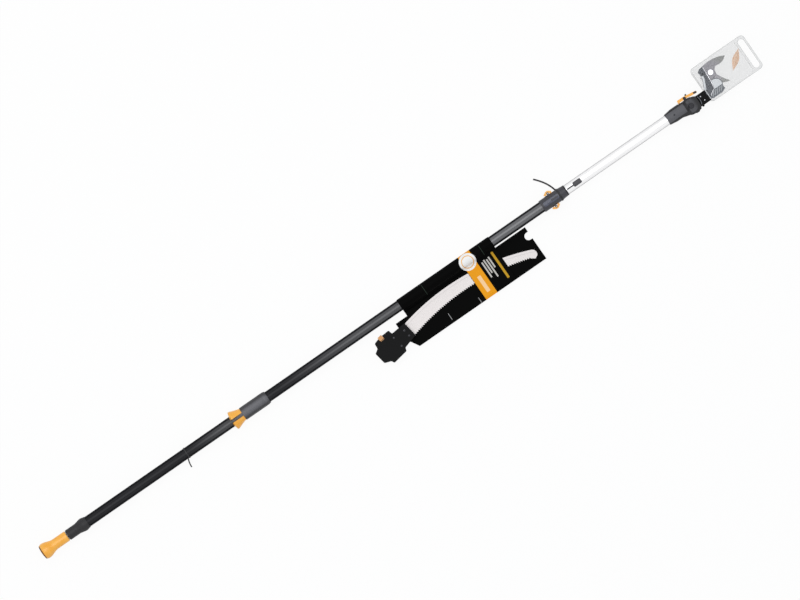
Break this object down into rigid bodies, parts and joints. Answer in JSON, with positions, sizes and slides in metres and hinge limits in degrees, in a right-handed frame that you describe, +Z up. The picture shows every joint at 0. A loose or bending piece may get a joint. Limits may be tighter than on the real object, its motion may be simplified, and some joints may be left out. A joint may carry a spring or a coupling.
{
  "type": "telescoping pole saw",
  "caption": "Telescopic pole pruner with a strap-driven geared bypass head in a clear clamshell, a sliding pull handle, and a clip-on curved saw in a black card sleeve.",
  "frame": {"origin": "middle of the part's bounding box, on the surface that the part lies on", "axes": "+X along the pole from the pull knob towards the cutter head, both blades flat in the XY plane, +Z up"},
  "size_m": [2.4874, 0.2098, 0.0566],
  "materials": {
    "black_tube": "satin fluted",
    "silver_tube": "anodised",
    "orange_plastic": "glossy",
    "black_plastic": "matt",
    "grey_plastic": "matt",
    "bluegrey_plastic": "satin",
    "white_plastic": "satin",
    "steel": "brushed",
    "bright_steel": "polished",
    "jaw_steel": "satin coated",
    "blade_steel": "satin coated",
    "dark_steel": "satin",
    "saw_steel": "ground",
    "strap_webbing": "woven",
    "card": "printed card",
    "paper": "smooth paper",
    "clear_sheet": "clear vacuum-formed sheet",
    "tan_plastic": "satin",
    "drum_plastic": "satin moulded",
    "cap_plastic": "glossy"
  },
  "bodies": {
    "outer_pole": {"outer_tube": "black_tube", "end_ferrule": "black_plastic", "ferrule_bush": "white_plastic", "ferrule_screws": "steel", "lock_collar": "grey_plastic", "lock_end_ring": "black_plastic", "lock_panel": "bluegrey_plastic", "lock_bush": "white_plastic", "lock_pins": "steel", "lock_springs": "steel", "tie_lower": "black_plastic", "tie_upper": "black_plastic", "card_sleeve": "card", "round_sticker": "paper"},
    "pull_gear": {"pull_knob": "orange_plastic", "knob_pin": "steel", "pull_rod": "steel", "crosshead": "grey_plastic", "strap_pin": "steel", "pull_bar": "steel", "shuttle": "grey_plastic", "shuttle_screws": "steel", "handle_sleeve": "black_plastic", "handle_flare": "orange_plastic"},
    "inner_pole": {"inner_tube": "silver_tube", "tail_plug": "white_plastic", "stop_tab": "grey_plastic", "head_socket": "grey_plastic", "socket_rivets": "steel", "tilt_bolt": "steel", "tilt_nut": "steel", "lever_pin": "steel", "drive_strap": "strap_webbing"},
    "guide_roller": {"guide_roller": "white_plastic"},
    "tilt_lever": {"tilt_lever": "orange_plastic", "lever_stud": "black_plastic"},
    "lock_lever_left": {"lock_lever_left": "orange_plastic"},
    "lock_lever_right": {"lock_lever_right": "orange_plastic"},
    "cutter_head": {"neck": "black_plastic", "back_plate": "dark_steel", "cover_plate": "dark_steel", "drum_cover": "drum_plastic", "drum_cap": "cap_plastic", "hook_jaw": "jaw_steel", "pivot_bolt": "bright_steel", "pivot_spacer": "steel", "drum_pin": "steel", "head_screws": "steel", "return_spring": "steel", "head_strap": "strap_webbing", "clamshell_front": "clear_sheet", "clamshell_back": "clear_sheet"},
    "drum": {"drum": "bright_steel"},
    "cutter_blade": {"cutter_blade": "blade_steel"},
    "saw": {"saw_blade": "saw_steel", "saw_head_upper": "black_plastic", "saw_head_lower": "black_plastic", "saw_screws": "steel"},
    "saw_button": {"saw_button": "tan_plastic"}
  },
  "joints": [
    {"name": "telescope", "type": "slide", "parent": "outer_pole", "child": "inner_pole", "axis": [1, 0, 0], "range_m": [0, 1.25], "deforming": ["drive_strap"]},
    {"name": "handle_pull", "type": "slide", "parent": "outer_pole", "child": "pull_gear", "axis": [-1, 0, 0], "range_m": [0, 0.0944], "stiffness_N_per_m": 200},
    {"name": "roller_spin", "type": "hinge", "parent": "inner_pole", "child": "guide_roller", "pos_m": [1.00625, 0.0179, 0.0285], "axis": [0, 0, 1], "range_deg": [-600, 0]},
    {"name": "head_tilt", "type": "hinge", "parent": "inner_pole", "child": "cutter_head", "pos_m": [1.00625, 0.0179, 0.0285], "axis": [0, 0, 1], "range_deg": [-115, 90], "deforming": ["head_strap"]},
    {"name": "blade_swing", "type": "hinge", "parent": "cutter_head", "child": "cutter_blade", "pos_m": [1.10625, 0.0649, 0.0359], "axis": [0, 0, 1], "range_deg": [0, 66]},
    {"name": "drum_spin", "type": "hinge", "parent": "cutter_head", "child": "drum", "pos_m": [1.09904, 0.02637, 0.0285], "axis": [0, 0, 1], "range_deg": [-339, 0]},
    {"name": "tilt_lever", "type": "hinge", "parent": "inner_pole", "child": "tilt_lever", "pos_m": [1.00225, 0.047, 0.0409], "axis": [0, 0, -1], "range_deg": [0, 5], "stiffness_Nm_per_rad": 1.5},
    {"name": "lock_lever_left", "type": "hinge", "parent": "outer_pole", "child": "lock_lever_left", "pos_m": [0.52725, 0.0464, 0.0285], "axis": [0, 0, 1], "range_deg": [0, 7], "stiffness_Nm_per_rad": 0.3, "deforming": ["lock_springs"]},
    {"name": "lock_lever_right", "type": "hinge", "parent": "outer_pole", "child": "lock_lever_right", "pos_m": [0.52725, 0.0008, 0.0285], "axis": [0, 0, -1], "range_deg": [0, 7]},
    {"name": "saw_slide", "type": "slide", "parent": "outer_pole", "child": "saw", "axis": [-1, 0, 0], "range_m": [0, 0.21]},
    {"name": "saw_button", "type": "slide", "parent": "saw", "child": "saw_button", "axis": [0.1736, -0.9848, 0], "range_m": [0, 0.003], "stiffness_N_per_m": 800}
  ],
  "couplings": [
    {"joint": "blade_swing", "follows": "handle_pull", "rad_per_m": 12.195},
    {"joint": "drum_spin", "follows": "handle_pull", "rad_per_m": -62.5},
    {"joint": "roller_spin", "follows": "handle_pull", "rad_per_m": -109.89},
    {"joint": "lock_lever_right", "follows": "lock_lever_left", "ratio": 1}
  ]
}
